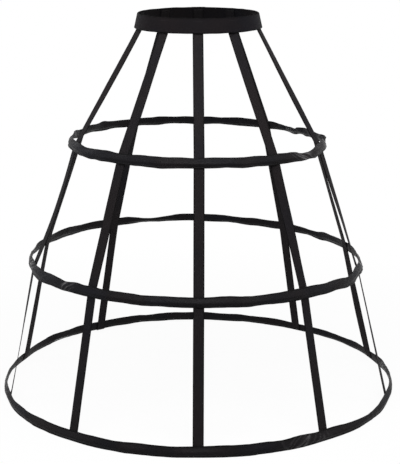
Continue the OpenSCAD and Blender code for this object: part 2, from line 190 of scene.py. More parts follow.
# Each casing has the start of its gathers in degrees, a seed for its creases, a roll, folds and crumples.
# Those have a place and half arc in degrees. A roll has its share of a full one, a crumple its depth in mm.
# A fold has a turn in degrees and, in mm, its edges drawn to the wire, a push outwards and a drop.
CASINGS = {
    "upper": Casing(
        late=0,
        seed=3.7,
        roll=Roll(39, 12, 0.35),
        folds=(
            Fold(35.5, 3.5, turn=4, top=4.0),
            Fold(40, 10, top=0.8, low=-0.6, drop=2.8),
            Fold(28, 5, turn=-6, top=0.2, low=-0.8, drop=1.2),
            Fold(11, 6, low=-0.8, drop=0.8),
            Fold(1, 7, turn=-46, top=1.4, low=0.4, push=2.8, drop=0.6),
            Fold(327, 13, turn=2, top=5.5, low=0.2, push=0.4, drop=1.4),
            Fold(270, 40, low=0.3, drop=-0.8),
            Fold(226, 5, top=-0.6, low=-1.0, push=0.8),
            Fold(181, 8, turn=-14, top=1.0, low=1.2, push=-2.8),
            Fold(172, 5, top=-1.6, push=0.6),
            Fold(163, 7, top=0.8, low=-1.6, drop=0.3),
            Fold(147, 13, top=-1.8, low=-1.6),
            Fold(144, 8, top=-1.6, low=-0.4),
            Fold(138, 7, low=-2.2),
            Fold(112, 10, top=-1.4, low=-1.6),
            Fold(96, 5, top=-0.4, low=1.0),
            Fold(66, 8, top=-1.4, low=-2.2),
            Fold(35, 8, low=-3.4, drop=2.0),
            Fold(214, 9, drop=1.8),
            Fold(229, 5, top=-1.4),
            Fold(252, 14, top=-0.6, low=-1.9, drop=0.2),
            Fold(262, 9, top=-1.0, low=-0.6),
            Fold(277, 9, top=-1.4),
            Fold(293, 8, top=-1.6),
            Fold(307, 7, top=-1.8, low=0.8),
            Fold(321, 4, top=1.0),
            Fold(330, 6, low=-1.8, drop=0.2),
            Fold(38, 5, low=-3.0),
            Fold(145, 6, top=-1.6),
            Fold(218, 5, top=0.4, low=-1.4, drop=0.4),
            Fold(246, 6, top=-1.2),
        ),
        crumples=(Crumple(178, 12, 1.5), Crumple(358, 14, 1.7), Crumple(322, 9, 0.9), Crumple(40, 10, 0.6)),
    ),
    "middle": Casing(
        late=80,
        seed=11.3,
        roll=Roll(107, 12, 0.8),
        folds=(
            Fold(270, 45, low=0.4, drop=-1.0),
            Fold(280, 8, top=-1.6),
            Fold(228.5, 3.5, top=-1.2, push=0.6),
            Fold(223, 4, top=2.0, drop=0.4),
            Fold(206, 16, low=-2.6, drop=2.2),
            Fold(199, 6, top=1.6, low=-0.6, push=0.4, drop=0.6),
            Fold(188, 9, turn=-7, top=0.8, low=-0.8, push=0.8, drop=0.8),
            Fold(172, 9, turn=-6, top=-0.6, low=-0.8, drop=1.2),
            Fold(148, 9, top=-2.4, low=-3.6),
            Fold(305, 12, top=-2.2),
            Fold(334, 11, top=3.8, low=-0.6, push=0.4, drop=1.4),
            Fold(338, 18, low=-2.0, drop=2.4),
            Fold(350, 9, turn=4, top=0.8, low=-1.4, push=0.9, drop=1.4),
            Fold(33, 9, top=-1.4, low=-2.2, drop=1.2),
            Fold(46, 9, top=0.8, drop=1.8),
            Fold(68, 14, top=0.4, low=-0.8, drop=1.6),
            Fold(92, 8, low=1.2),
            Fold(108, 13, top=0.4, low=-7.0),
            Fold(38, 7, top=2.4, drop=1.6),
            Fold(27, 8, low=-2.0, drop=1.2),
            Fold(60, 7, top=0.2, low=-0.8, drop=1.0),
            Fold(145, 6, top=-2.0, low=-2.0),
            Fold(154, 6, low=-1.6),
            Fold(132, 5, top=-1.0),
            Fold(235, 5, top=-1.2),
            Fold(312, 7, top=-1.4, low=0.4),
            Fold(327, 6, low=-1.6, drop=0.6),
            Fold(10, 9, turn=-8, top=-0.6, low=-0.8, drop=0.8),
            Fold(40, 16, top=0.8, low=-0.6, drop=1.0),
            Fold(92, 12, low=0.4, drop=-1.2),
        ),
        crumples=(Crumple(188, 16, 1.4), Crumple(352, 14, 1.4), Crumple(224, 5, 1.0)),
    ),
    "hem": Casing(
        late=200,
        seed=23.9,
        roll=Roll(0, 12, 0.0),
        folds=(
            Fold(325, 15, turn=-4, top=4.6, push=0.8, drop=0.8),
            Fold(264, 4, top=0.2, low=-0.8, push=0.4),
            Fold(265, 45, top=-1.0),
            Fold(9, 12, turn=-15, top=0.6, low=-1.0),
            Fold(42, 28, top=0.6, drop=1.6),
            Fold(112, 42, drop=-2.0),
            Fold(203, 12, top=3.0, push=0.4),
            Fold(138, 34, top=-1.6, drop=-2.6),
            Fold(100, 18, top=-1.0, drop=-0.8),
            Fold(89, 8, top=-2.0, low=0.6, drop=-1.0),
            Fold(279, 14, top=-1.8),
            Fold(298, 8, top=-3.2),
            Fold(309, 8, top=-2.0),
            Fold(328, 5, top=-2.4),
        ),
        crumples=(Crumple(2, 16, 1.2), Crumple(188, 12, 0.9), Crumple(300, 10, 0.5)),
    ),
}

# Gathers: degrees of wave in a bay and for each degree round, and how late the edges rise after the tips
GATHER_TURN = 720
GATHER_DRIFT = 2.3
RISE_LATE = 120
# Sewn stretch: how steeply it ends beside a tape, and the share of a crumple that it takes away
SEWN_FALL = 8
SEWN_CALM = 0.8
# Uneven tip between two tapes
TIP_RIPPLE = math.radians(3.5)
TIP_RIPPLE_L = 55 * MM
# Puckers: their share left at a tape, the shares of long and short ones, and the lengths of the short ones
PUCKER_LEFT = 0.25
LONG_PUCKER = 0.8
SHORT_PUCKER = 0.5
TOP_PUCKER_L = 11 * MM
LOW_PUCKER_L = 12 * MM
# Step in the noise from one row of ripples to the next, and its place for the creases
ROW_APART = 1.7
CREASE_ROW = 4.0
# Creases: pitch along the casing and across it, length over which their slant swings, and sharpness
CREASE_PITCH = 19 * MM
CREASE_SLANT = 13 * MM
CREASE_SWING = 90 * MM
CREASE_SHARPNESS = 5
# Creases: their share left at a tape, their height, and how far the cloth between them sinks
CREASE_LEFT = 0.2
CREASE_HEIGHT = 0.9
CREASE_SINK = 0.3
# Swells between the creases: length, width, height and how they grow towards the edges
SWELL_L = 24 * MM
SWELL_W = 15 * MM
SWELL_HEIGHT = 1.4
SWELL_BEND = 0.7
# Crumples: as the creases, the width over which a ridge fades, and their share left over the wire
CRUMPLE_PITCH = 11 * MM
CRUMPLE_SLANT = 7 * MM
CRUMPLE_SWING = 30 * MM
CRUMPLE_FADE = 40 * MM
CRUMPLE_SHARPNESS = 2.6
CRUMPLE_LEFT = 0.25
# How the pull of a fold grows towards an edge
EDGE_BEND = 1.5
# Rounding of the belly over the wire
BELLY_BEND = 1.5
# Rim of a casing: its share of the edge's thickness, and the width over which it rounds off
RIM_SHARE = 0.45
RIM_W = 0.9 * MM
# Groove that a seam draws into a casing
GROOVE_DEPTH = 0.18 * MM
GROOVE_W = 0.5 * MM


# Hoops, read from the wires of the frame

Hoop = namedtuple("Hoop", "name radius sway height tilt lean droop")


def hoop_ring(name, sizes):
    """Returns the ring of a hoop's wire, with the lean and the droop of the casing on it"""
    low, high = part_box("hoop_" + name)
    wire_r = sizes.wire_d / 2
    radius = (high[1] - low[1]) / 2 - wire_r
    tilt = math.asin(max(0.0, (high[2] - low[2]) / 2 - wire_r) / radius)
    lean, droop = {
        "upper": (sizes.upper_lean, sizes.upper_droop),
        "middle": (sizes.middle_lean, sizes.middle_droop),
        "hem": (sizes.hem_lean, 0.0),
    }[name]
    return Hoop(name, radius, (low[0] + high[0]) / 2, (low[2] + high[2]) / 2, tilt, lean, droop)


def ring_point(hoop, radius, up, angle):
    """Returns a point on a hoop's ring in space, which dips to the right about the hoop's own middle"""
    x = radius * math.cos(angle)
    turn, lift = math.cos(hoop.tilt), math.sin(hoop.tilt)
    y = radius * math.sin(angle)
    return Vector((hoop.sway + x * turn + up * lift, y, hoop.height - x * lift + up * turn))


def hump(off, arc):
    """Returns a smooth hump over degrees off its top, gone a half arc away on either side"""
    off = (off + 540) % 360 - 180
    return 0.0 if abs(off) >= arc else math.cos(math.pi / 2 * off / arc) ** 2


def at_least(least, share):
    """Returns a share that starts from a least one"""
    return least + (1 - least) * share


class Gathers:
    """Shape of one casing at one angle, shared by its fabric and its stitches"""

    def __init__(self, sizes, hoop, angle):
        casing = CASINGS[hoop.name]
        self.sizes, self.hoop, self.casing = sizes, hoop, casing
        turns = (angle - REAR) / BAY
        bay = turns - math.floor(turns)
        degrees = math.degrees(angle)
        self.arc = angle * hoop.radius
        self.loose = math.sin(math.pi * bay) ** 2
        self.sewn = math.cos(math.pi * bay) ** SEWN_FALL
        roll = casing.roll.share * hump(degrees - casing.roll.at, casing.roll.arc)
        tip = hoop.droop * self.loose
        tip += sizes.gather_tip * self.wave(bay, degrees, late=0)
        tip += sizes.roll_turn * roll
        tip += TIP_RIPPLE * self.loose * self.ripple(TIP_RIPPLE_L, row=0)
        self.drop = sizes.gather_rise * self.wave(bay, degrees, RISE_LATE)
        self.spread = 1 - sizes.roll_crush * roll
        self.top = self.low = self.push = 0.0
        for fold in casing.folds:
            share = hump(degrees - fold.at, fold.arc)
            tip += math.radians(fold.turn) * share
            self.top += fold.top * MM * share
            self.low += fold.low * MM * share
            self.push += fold.push * MM * share
            self.drop += fold.drop * MM * share
        self.crumple = 0.0
        for crumple in casing.crumples:
            self.crumple += crumple.depth * hump(degrees - crumple.at, crumple.arc)
        self.top += self.pucker(TOP_PUCKER_L, row=5)
        self.low += self.pucker(LOW_PUCKER_L, row=7)
        self.lean = hoop.lean + tip

    def wave(self, bay, degrees, late):
        """Returns the long gathers between two tapes"""
        turn = GATHER_TURN * bay + GATHER_DRIFT * degrees + self.casing.late + late
        return self.loose * math.sin(math.radians(turn))

    def ripple(self, length, row):
        """Returns a smooth uneven wave along the casing"""
        return noise.noise(Vector((self.arc / length, self.casing.seed + ROW_APART * row, 0.0)))

    def pucker(self, short, row):
        """Returns the long and short puckers along one edge"""
        ripples = LONG_PUCKER * self.ripple(self.sizes.pucker_l, row)
        ripples += SHORT_PUCKER * self.ripple(short, row + 1)
        return self.sizes.pucker * at_least(PUCKER_LEFT, self.loose) * ripples

    def ridge(self, across):
        """Returns the slanting ridges of a crumple, one along their tops"""
        slant = self.arc / CRUMPLE_PITCH + across / CRUMPLE_SLANT * math.cos(self.arc / CRUMPLE_SWING)
        spot = Vector((slant, self.casing.seed, across / CRUMPLE_FADE))
        return 1 - CRUMPLE_SHARPNESS * abs(noise.noise(spot))

    def bow(self, across, edge_share, side):
        """Returns how far creases, swells, pushes and crumples carry the cloth off its face"""
        slant = self.arc / CREASE_PITCH + across / CREASE_SLANT * math.sin(self.arc / CREASE_SWING)
        crease = (1 - abs(noise.noise(Vector((slant, self.casing.seed, CREASE_ROW))))) ** CREASE_SHARPNESS
        swell = noise.noise(Vector((self.arc / SWELL_L, across / SWELL_W, self.casing.seed)))
        uneven = SWELL_HEIGHT * swell * edge_share ** SWELL_BEND
        uneven += side * (CREASE_HEIGHT * crease - CREASE_SINK)
        bow = self.sizes.crease * at_least(CREASE_LEFT, self.loose) * uneven
        bow += self.push * edge_share
        ridges = self.crumple * MM * self.ridge(across) * at_least(CRUMPLE_LEFT, edge_share)
        return bow + ridges * (1 - SEWN_CALM * self.sewn)

    def place(self, across, out, angle):
        """Returns a point in space, across down from the wire and out off the face of the casing"""
        sizes = self.sizes
        up_share = min(1.0, max(0.0, -across / (sizes.casing_w / 2 + sizes.wire_drop)))
        low_share = min(1.0, max(0.0, across / (sizes.casing_w / 2 - sizes.wire_drop)))
        down = across * self.spread + self.drop
        down += self.top * up_share ** EDGE_BEND
        down -= self.low * low_share ** EDGE_BEND
        drawn = (sizes.casing_belly - sizes.casing_edge) * self.sewn * (1 - belly_share(sizes, across))
        off = out - drawn + self.bow(across, max(up_share, low_share), 1 if out > 0 else -1)
        radius = self.hoop.radius + down * math.sin(self.lean) + off * math.cos(self.lean)
        point = ring_point(self.hoop, radius, off * math.sin(self.lean) - down * math.cos(self.lean), angle)
        point.z = max(0.0, point.z)
        return point


def belly_share(sizes, across):
    """Returns how much of the belly over the wire is left at a distance down from the wire"""
    seam = sizes.casing_w / 2 - sizes.casing_seam
    reach = seam + sizes.wire_drop if across < 0 else seam - sizes.wire_drop
    near = max(0.0, 1 - abs(across) / reach)
    return math.sin(near * math.pi / 2) ** BELLY_BEND


def casing_half(sizes, across):
    """Returns the half thickness of a casing at a distance down from the wire"""
    from_edge = sizes.casing_w / 2 - abs(across + sizes.wire_drop)
    edge = sizes.casing_edge * min(1.0, at_least(RIM_SHARE, from_edge / RIM_W))
    groove = GROOVE_DEPTH * math.exp(-((from_edge - sizes.casing_seam) / GROOVE_W) ** 2)
    return edge - groove + (sizes.casing_belly - sizes.casing_edge) * belly_share(sizes, across)


# Small helpers for meshes

def finish_piece(bm, name, material):
    """Makes the named object of a bmesh, smooth, with its normals outwards and one material"""
    bmesh.ops.recalc_face_normals(bm, faces=bm.faces)
    mesh = bpy.data.meshes.new(name)
    for face in bm.faces:
        face.smooth = True
    bm.to_mesh(mesh)
    bm.free()
    piece = bpy.data.objects.new(name, mesh)
    bpy.context.scene.collection.objects.link(piece)
    mesh.materials.append(material)
    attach(piece, "root")
    return piece


def turned_from_rear(point):
    """Returns the angle of a point about the axis, from the rear once round"""
    return REAR + (math.atan2(point.y, point.x) - REAR) % (2 * math.pi)


def set_girth_uv(bm, places, girth):
    """Gives every face a UV map of metres along and across the cloth, closed over at the top edge"""
    layer = bm.loops.layers.uv.new("cloth")
    for face in bm.faces:
        spots = [places[loop.vert] for loop in face.loops]
        wraps = max(s[1] for s in spots) - min(s[1] for s in spots) > girth / 2
        for loop, (along, across) in zip(face.loops, spots):
            loop[layer].uv = (along, across - girth if wraps and across > girth / 2 else across)


def spin_section(bm, section, radius, start, arc, steps):
    """Spins a closed section of (off, down) through an arc about the axis"""
    turn = Matrix.Rotation(start, 3, "Z")
    ring = [bm.verts.new(turn @ Vector((radius + off, 0, -down))) for off, down in section]
    edges = [bm.edges.new((ring[k - 1], ring[k])) for k in range(len(ring))]
    bmesh.ops.spin(bm, geom=ring + edges, cent=(0, 0, 0), axis=(0, 0, 1), dvec=(0, 0, 0), angle=arc,
                   steps=steps, use_merge=False, use_duplicate=False)


def close_ends(bm):
    """Closes the open ends of what was spun"""
    ends = [e for e in bm.edges if e.is_boundary]
    if ends:
        bmesh.ops.holes_fill(bm, edges=ends, sides=0)


def repeat_round(bm, part, arc):
    """Sets copies of a part side by side about the axis, each one turned on by an arc"""
    mesh = bpy.data.meshes.new("part")
    part.to_mesh(mesh)
    part.free()
    for k in range(PARTS):
        known = len(bm.verts)
        bm.from_mesh(mesh)
        bm.verts.ensure_lookup_table()
        bmesh.ops.rotate(bm, cent=(0, 0, 0), matrix=Matrix.Rotation(k * arc, 3, "Z"), verts=bm.verts[known:])
    bpy.data.meshes.remove(mesh)


def spin_round(bm, section, radius, start, arc, steps):
    """Spins a closed section through one part of an arc, repeats that, joins it and closes any open ends"""
    part = bmesh.new()
    spin_section(part, section, radius, start, arc / PARTS, steps // PARTS)
    repeat_round(bm, part, arc / PARTS)
    bmesh.ops.remove_doubles(bm, verts=bm.verts, dist=JOIN)
    close_ends(bm)


# Small helpers for materials

def set_inputs(node, inputs):
    """Links each input of a node to a socket, or sets it to a constant"""
    for key, value in inputs.items():
        if isinstance(value, bpy.types.NodeSocket):
            node.id_data.links.new(value, node.inputs[key])
        else:
            node.inputs[key].default_value = value


def add_node(tree, kind, inputs=None, **settings):
    """Adds a shader node with its settings and inputs"""
    node = tree.nodes.new("ShaderNode" + kind)
    for key, value in settings.items():
        setattr(node, key, value)
    set_inputs(node, inputs or {})
    return node


def math_node(tree, operation, *values):
    """Adds a Math node whose inputs are sockets or numbers, and returns its output"""
    return add_node(tree, "Math", dict(enumerate(values)), operation=operation).outputs[0]


def mix_colours(tree, factor, first, second, blend="MIX"):
    """Adds a Mix node of two colours, and returns its output"""
    inputs = {"Factor": factor, "A": first, "B": second}
    return add_node(tree, "Mix", inputs, data_type="RGBA", blend_type=blend).outputs["Result"]


def noise_value(tree, place, scale, detail):
    """Adds a Noise Texture over a place, and returns its value"""
    return add_node(tree, "TexNoise", {"Vector": place, "Scale": scale, "Detail": detail}).outputs[0]


def new_group(name, inputs, outputs):
    """Starts a shader node group with named value, colour and vector sockets"""
    kinds = {"value": "NodeSocketFloat", "colour": "NodeSocketColor", "vector": "NodeSocketVector"}
    group = bpy.data.node_groups.new(name, "ShaderNodeTree")
    for label, kind, default in inputs:
        socket = group.interface.new_socket(label, in_out="INPUT", socket_type=kinds[kind])
        if default is not None:
            socket.default_value = default
    for label, kind in outputs:
        group.interface.new_socket(label, in_out="OUTPUT", socket_type=kinds[kind])
    return group, group.nodes.new("NodeGroupInput"), group.nodes.new("NodeGroupOutput")


def new_material(name):
    """Starts a node material, and returns it with its tree and its shader"""
    material = bpy.data.materials.new(name)
    material.use_nodes = True
    return material, material.node_tree, material.node_tree.nodes["Principled BSDF"]


# Shader node groups

# Selvedge: the width over which it fades, and how far in it ends, counted in that width
SELVEDGE_FADE = 1.4 * MM
SELVEDGE_REACH = 1.7


def rib_weave_group(name):
    """Ribs across a cloth with threads along it: height of the weave and how deep a point lies in it"""
    group, start, end = new_group(
        name,
        [("Cloth", "vector", None), ("Rib", "value", 1.0 * MM), ("Thread", "value", 0.4 * MM),
         ("Thread share", "value", 0.3)],
        [("Height", "value"), ("Depth", "value")],
    )
    split = add_node(group, "SeparateXYZ", {0: start.outputs["Cloth"]}).outputs
    rib_count = math_node(group, "DIVIDE", split[0], start.outputs["Rib"])
    thread_count = math_node(group, "DIVIDE", split[1], start.outputs["Thread"])
    rib = math_node(group, "MULTIPLY", rib_count, FULL_TURN)
    thread = math_node(group, "MULTIPLY", thread_count, FULL_TURN)
    ribs = math_node(group, "MULTIPLY_ADD", math_node(group, "SINE", rib), 0.5, 0.5)
    half_rib = math_node(group, "MULTIPLY", rib, 0.5)
    along, across = math_node(group, "SINE", half_rib), math_node(group, "SINE", thread)
    crossed = math_node(group, "MULTIPLY", along, across)
    threads = math_node(group, "MULTIPLY_ADD", crossed, 0.5, 0.5)
    proud = math_node(group, "SUBTRACT", threads, ribs)
    height = math_node(group, "MULTIPLY_ADD", proud, start.outputs["Thread share"], ribs)
    set_inputs(end, {"Height": height, "Depth": math_node(group, "SUBTRACT", 1.0, height)})


def patch_mask(group, patches, gain, shift, most):
    """Returns a mask of the low or the high patches of a noise, up to a most"""
    capped = math_node(group, "SMOOTH_MIN", math_node(group, "MULTIPLY_ADD", patches, gain, shift), 1.0, 0.1)
    return math_node(group, "MULTIPLY", math_node(group, "MAXIMUM", capped, 0.0), most)


def cloth_tone_group(name):
    """Colour and roughness: uneven dye and lint mottled by place, darker edges, painted shade in the hollows
    of the weave and on hidden faces, and a painted sheen on ridges
    """
    group, start, end = new_group(
        name,
        [("Place", "vector", None), ("Colour", "colour", None),
         ("Cool", "colour", (0.0065, 0.0078, 0.0125, 1)), ("Warm", "colour", (0.0145, 0.0112, 0.0118, 1)),
         ("Depth", "value", 0.0), ("Roughness", "value", 0.6), ("Ridge", "value", 0.0),
         ("Ridge colour", "colour", (0.15, 0.145, 0.148, 1)), ("Selvedge", "value", 0.0)],
        [("Colour", "colour"), ("Roughness", "value")],
    )
    source = start.outputs
    patches = noise_value(group, source["Place"], scale=9.0, detail=3.0)
    lint = noise_value(group, source["Place"], scale=240.0, detail=4.0)
    low = patch_mask(group, patches, gain=-4.0, shift=2.1, most=0.55)
    high = patch_mask(group, patches, gain=4.0, shift=-1.9, most=0.6)
    cool = mix_colours(group, low, source["Colour"], source["Cool"])
    warm = mix_colours(group, high, cool, source["Warm"])
    # Painted shade in the hollows of the weave, darkest where the weave lies deepest
    depth = math_node(group, "MULTIPLY", source["Depth"], 0.6)
    dark = mix_colours(group, depth, warm, (0.35, 0.35, 0.36, 1), "MULTIPLY")
    # Darker firm edges from the Selvedge input, which also carries painted shade on the elastic's inner face
    # and the tapes' hidden ends
    edge = mix_colours(group, source["Selvedge"], dark, (0.3, 0.3, 0.3, 1), "MULTIPLY")
    # Painted sheen: the ridge tops of the crumples are lightened towards a pale grey
    ridge = mix_colours(group, source["Ridge"], edge, source["Ridge colour"])
    uneven = math_node(group, "SUBTRACT", lint, 0.5)
    grain = math_node(group, "MULTIPLY_ADD", uneven, 0.25, source["Roughness"])
    set_inputs(end, {"Colour": ridge, "Roughness": grain})


def selvedge_group(name):
    """Mask of the two firmer edges of a cloth of a given width, one at the edge and gone a little way in"""
    group, start, end = new_group(
        name,
        [("Cloth", "vector", None), ("Width", "value", 20 * MM), ("Start", "value", 0.0)],
        [("Edge", "value")],
    )
    split = add_node(group, "SeparateXYZ", {0: start.outputs["Cloth"]}).outputs
    across = math_node(group, "ADD", split[1], start.outputs["Start"])
    near = math_node(group, "PINGPONG", across, math_node(group, "MULTIPLY", start.outputs["Width"], 0.5))
    fade = math_node(group, "MULTIPLY_ADD", near, -1 / SELVEDGE_FADE, SELVEDGE_REACH)
    set_inputs(end, {"Edge": math_node(group, "MINIMUM", math_node(group, "MAXIMUM", fade, 0.0), 1.0)})


def satin_glint_group(name):
    """Satin that shines where it is crumpled: a lower roughness and a coat, uneven over its place"""
    group, start, end = new_group(
        name,
        [("Place", "vector", None), ("Crumple", "value", 0.0), ("Roughness", "value", 0.5)],
        [("Roughness", "value"), ("Coat", "value")],
    )
    crumple = start.outputs["Crumple"]
    patches = noise_value(group, start.outputs["Place"], scale=60.0, detail=2.0)
    share = math_node(group, "MULTIPLY", crumple, patches)
    smooth = math_node(group, "MULTIPLY_ADD", crumple, -0.16, start.outputs["Roughness"])
    set_inputs(end, {"Roughness": smooth, "Coat": math_node(group, "MULTIPLY", share, 0.5)})


GROUPS = {
    "Rib weave": rib_weave_group,
    "Cloth tone": cloth_tone_group,
    "Selvedge": selvedge_group,
    "Satin glint": satin_glint_group,
}


def add_group(tree, name, inputs):
    """Adds a shared group, built on its first use, and returns its outputs"""
    if name not in bpy.data.node_groups:
        GROUPS[name](name)
    return add_node(tree, "Group", inputs, node_tree=bpy.data.node_groups[name]).outputs


# Materials

Cloth = namedtuple("Cloth", "name rib thread thread_share rough sheen bump gloss")
ELASTIC_CLOTH = Cloth("Woven elastic", rib=1.5 * MM, thread=0.7 * MM, thread_share=0.35,
                      rough=0.62, sheen=0.01, bump=0.55, gloss=0.04)
TAPE_CLOTH = Cloth("Ribbed tape", rib=0.9 * MM, thread=0.45 * MM, thread_share=0.3,
                   rough=0.66, sheen=0.01, bump=0.5, gloss=0.05)
CASING_CLOTH = Cloth("Casing ribbon", rib=0.55 * MM, thread=0.5 * MM, thread_share=0.5,
                     rough=0.46, sheen=0.015, bump=0.3, gloss=0.05)

Steel = namedtuple("Steel", "name rough scale bump")
SPRING_STEEL = Steel("Drawn spring steel", rough=0.22, scale=900.0, bump=0.15)
CRIMPED_STEEL = Steel("Crimped steel", rough=0.35, scale=260.0, bump=0.5)
# Share of its colour that a steel keeps in its duller spots
DULL_SHARE = 0.55


def cloth_material(cloth, colour, width, start):
    """Makes a woven material on the piece's cloth map, with uneven dye, ribs, firm edges, soft sheen, painted
    shade and painted ridge sheen
    """
    material, tree, shader = new_material(cloth.name)
    spot = add_node(tree, "UVMap", uv_map="cloth").outputs["UV"]
    place = add_node(tree, "TexCoord").outputs["Object"]
    # Mask of the crumples' ridge tops, for a painted sheen on them and a glossier coat
    crumple = add_node(tree, "Attribute", attribute_name="crumple").outputs["Fac"]
    # Painted shade mask, set on the elastic's inner face and the tapes' hidden ends
    shade = add_node(tree, "Attribute", attribute_name="shade").outputs["Fac"]
    weave = add_group(tree, "Rib weave", {
        "Cloth": spot, "Rib": cloth.rib, "Thread": cloth.thread, "Thread share": cloth.thread_share})
    edge = add_group(tree, "Selvedge", {"Cloth": spot, "Width": width, "Start": start})
    # The selvedge mask, raised to the painted shade; both darken the colour through the tone's Selvedge input
    dark = math_node(tree, "MAXIMUM", edge["Edge"], shade)
    tone = add_group(tree, "Cloth tone", {
        "Place": place, "Colour": colour, "Depth": weave["Depth"], "Roughness": cloth.rough, "Ridge": crumple,
        "Selvedge": dark})
    glint = add_group(tree, "Satin glint", {
        "Place": place, "Crumple": crumple, "Roughness": tone["Roughness"]})
    relief = add_node(tree, "Bump", {
        "Height": weave["Height"], "Strength": cloth.bump, "Distance": 0.25 * MM})
    set_inputs(shader, {
        "Base Color": tone["Colour"],
        "Roughness": glint["Roughness"],
        "Coat Weight": glint["Coat"],
        "Normal": relief.outputs["Normal"],
        "Coat Roughness": 0.22,
        "Coat IOR": 1.3,
        "Specular IOR Level": cloth.gloss,
        "Sheen Weight": cloth.sheen,
        "Sheen Roughness": 0.35,
        "Sheen Tint": (0.55, 0.55, 0.58, 1),
    })
    return material


def thread_material(colour):
    """Makes twisted black sewing thread"""
    material, tree, shader = new_material("Sewing thread")
    place = add_node(tree, "TexCoord").outputs["Object"]
    twist = add_node(tree, "TexWave", {"Vector": place, "Scale": 900.0, "Distortion": 1.5}).outputs["Fac"]
    # Painted shade in the grooves of the twist, through the tone's Depth input
    tone = add_group(tree, "Cloth tone", {
        "Place": place, "Colour": colour, "Depth": twist, "Roughness": 0.55})
    relief = add_node(tree, "Bump", {"Height": twist, "Strength": 0.35, "Distance": 0.1 * MM})
    set_inputs(shader, {
        "Base Color": tone["Colour"],
        "Roughness": tone["Roughness"],
        "Normal": relief.outputs["Normal"],
        "Specular IOR Level": 0.25,
    })
    return material


def steel_material(steel, colour):
    """Makes a steel with fine drawing or crimping marks and a few duller spots"""
    material, tree, shader = new_material(steel.name)
    place = add_node(tree, "TexCoord").outputs["Object"]
    marks = noise_value(tree, place, scale=steel.scale, detail=5.0)
    spots = add_node(tree, "TexNoise", {"Vector": place, "Scale": 35.0}).outputs[0]
    dull = tuple(DULL_SHARE * c for c in colour[:3]) + (1,)
    relief = add_node(tree, "Bump", {"Height": marks, "Strength": steel.bump, "Distance": 0.1 * MM})
    set_inputs(shader, {
        "Base Color": mix_colours(tree, spots, colour, dull),
        "Metallic": 1.0,
        "Roughness": math_node(tree, "MULTIPLY_ADD", marks, 0.25, steel.rough),
        "Normal": relief.outputs["Normal"],
    })
    return material


# Waistband

# Shares of the elastic's width at which its faces have a vertex, and degrees round its two edges
BAND_SHARES = (0.0, 0.03, 0.1, 0.2, 0.35, 0.5, 0.65, 0.8, 0.9, 0.97, 1.0)
LOWER_EDGE = (30, 60, 90, 120, 150)
UPPER_EDGE = (210, 240, 270, 300, 330)
BAND_STEPS = 540
LAP_STEPS = 24
# How far the lap stands off, as a share of the elastic's thickness
LAP_OFF = 0.875
# Painted shade on the waistband's inner face, and on the ends of the tapes inside it
INNER_PAINTED_SHADE = 0.75
HIDDEN_PAINTED_SHADE = 0.9
# Waver of the elastic: its depth, its pace round the waist and its place in the noise
BAND_WAVER = 0.5 * MM
BAND_PACE = 2.2
BAND_ROW = 5.0
# Waver of the elastic's edges: its depth, its pace round the waist and its pace down the elastic
EDGE_WAVER = 0.5 * MM
EDGE_PACE = 6
EDGE_DOWN_PACE = 40
# Flutes across the elastic
FLUTE_DEPTH = 0.03 * MM
FLUTE_PITCH = 2.4 * MM


def band_point(sizes, down, inward, angle):
    """Returns a point of the waistband in space: down from its upper edge, in from its outer face"""
    flare = sizes.waistband_flare
    rise = math.sin(sizes.waist_tilt)
    radius = sizes.waist_d / 2 + down * math.sin(flare) - inward * math.cos(flare)
    up = (sizes.waistband_w / 2 - down) * math.cos(flare) - inward * math.sin(flare)
    x, y = radius * math.cos(angle), radius * math.sin(angle)
    return Vector((x, y * math.cos(sizes.waist_tilt) - up * rise, WAIST_Z + y * rise + up))


def band_face(sizes, down, inward, angle):
    """Returns a point of the waistband's cloth, which wavers a little about the plain band"""
    spot = Vector((math.cos(angle), math.sin(angle), 0))
    waver = BAND_WAVER * noise.noise(BAND_PACE * spot + Vector((0, 0, BAND_ROW)))
    flute = FLUTE_DEPTH * math.sin(angle * sizes.waist_d / 2 / FLUTE_PITCH * FULL_TURN)
    lower = EDGE_WAVER * noise.noise(EDGE_PACE * spot + Vector((0, 0, down * EDGE_DOWN_PACE)))
    return band_point(sizes, down + lower, inward - waver - flute, angle)


def band_section(width, thick):
    """Returns the closed section of the elastic as (off, down), with rounded edges"""
    edge = thick / 2
    downs = [edge + share * (width - 2 * edge) for share in BAND_SHARES]
    section = [(0.0, down) for down in downs]
    for a in map(math.radians, LOWER_EDGE):
        section.append((-edge + edge * math.cos(a), width - edge + edge * math.sin(a)))
    section += [(-thick, down) for down in reversed(downs)]
    for a in map(math.radians, UPPER_EDGE):
        section.append((-edge + edge * math.cos(a), edge + edge * math.sin(a)))
    return section


